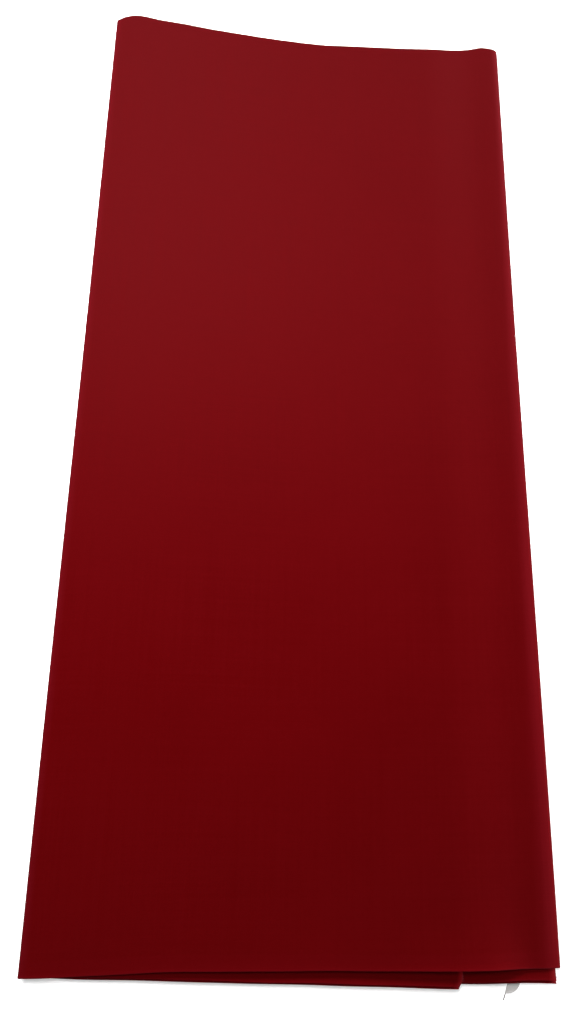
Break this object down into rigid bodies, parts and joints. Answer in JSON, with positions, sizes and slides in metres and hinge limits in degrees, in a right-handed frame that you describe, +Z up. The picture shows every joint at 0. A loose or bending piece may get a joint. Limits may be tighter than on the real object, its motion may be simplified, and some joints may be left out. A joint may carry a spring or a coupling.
{
  "type": "fabric bolt",
  "caption": "Folded length of plain deep-red woven cloth: four flat leaves of doubled cloth whose cover leaf opens like a book, with a blank label on a loose thread.",
  "frame": {"origin": "middle of the underside of the folded cloth, on the surface that it lies on, without the loose thread and its label", "axes": "+X from the left folds towards the thick right bend, +Y from the selvages towards the centre fold, +Z up through the stack"},
  "size_m": [0.258, 0.5778, 0.0065],
  "materials": {
    "red_cloth": "fine plain-woven cotton, matt with a faint sheen",
    "label_paper": "matt coated paper",
    "thread": "spun sewing thread"
  },
  "bodies": {
    "base": {"bottom_leaf_upper_ply": "red_cloth", "bottom_leaf_lower_ply": "red_cloth", "bottom_leaf_centre_fold": "red_cloth", "inner_leaf_upper_ply": "red_cloth", "inner_leaf_lower_ply": "red_cloth", "inner_leaf_centre_fold": "red_cloth", "lower_left_fold_outer_ply": "red_cloth", "lower_left_fold_inner_ply": "red_cloth", "right_bend_outer_ply": "red_cloth", "right_bend_inner_ply": "red_cloth", "flag_label": "label_paper", "loose_thread": "thread"},
    "cover": {"cover_leaf_upper_ply": "red_cloth", "cover_leaf_lower_ply": "red_cloth", "cover_leaf_centre_fold": "red_cloth", "upper_left_fold_outer_ply": "red_cloth", "upper_left_fold_inner_ply": "red_cloth"},
    "tuck": {"tuck_leaf_upper_ply": "red_cloth", "tuck_leaf_lower_ply": "red_cloth", "tuck_leaf_centre_fold": "red_cloth"}
  },
  "joints": [
    {"name": "cover_fold", "type": "hinge", "parent": "base", "child": "cover", "pos_m": [0.12575, 0, 0.00325], "axis": [0, 1, 0], "range_deg": [0, 179.5], "deforming": ["right_bend_outer_ply", "right_bend_inner_ply"]},
    {"name": "tuck_fold", "type": "hinge", "parent": "cover", "child": "tuck", "pos_m": [-0.12765, 0, 0.00515], "axis": [0, 1, 0], "range_deg": [0, 36], "deforming": ["upper_left_fold_outer_ply", "upper_left_fold_inner_ply"]}
  ],
  "couplings": [
    {"joint": "tuck_fold", "follows": "cover_fold", "ratio": 0.2}
  ]
}
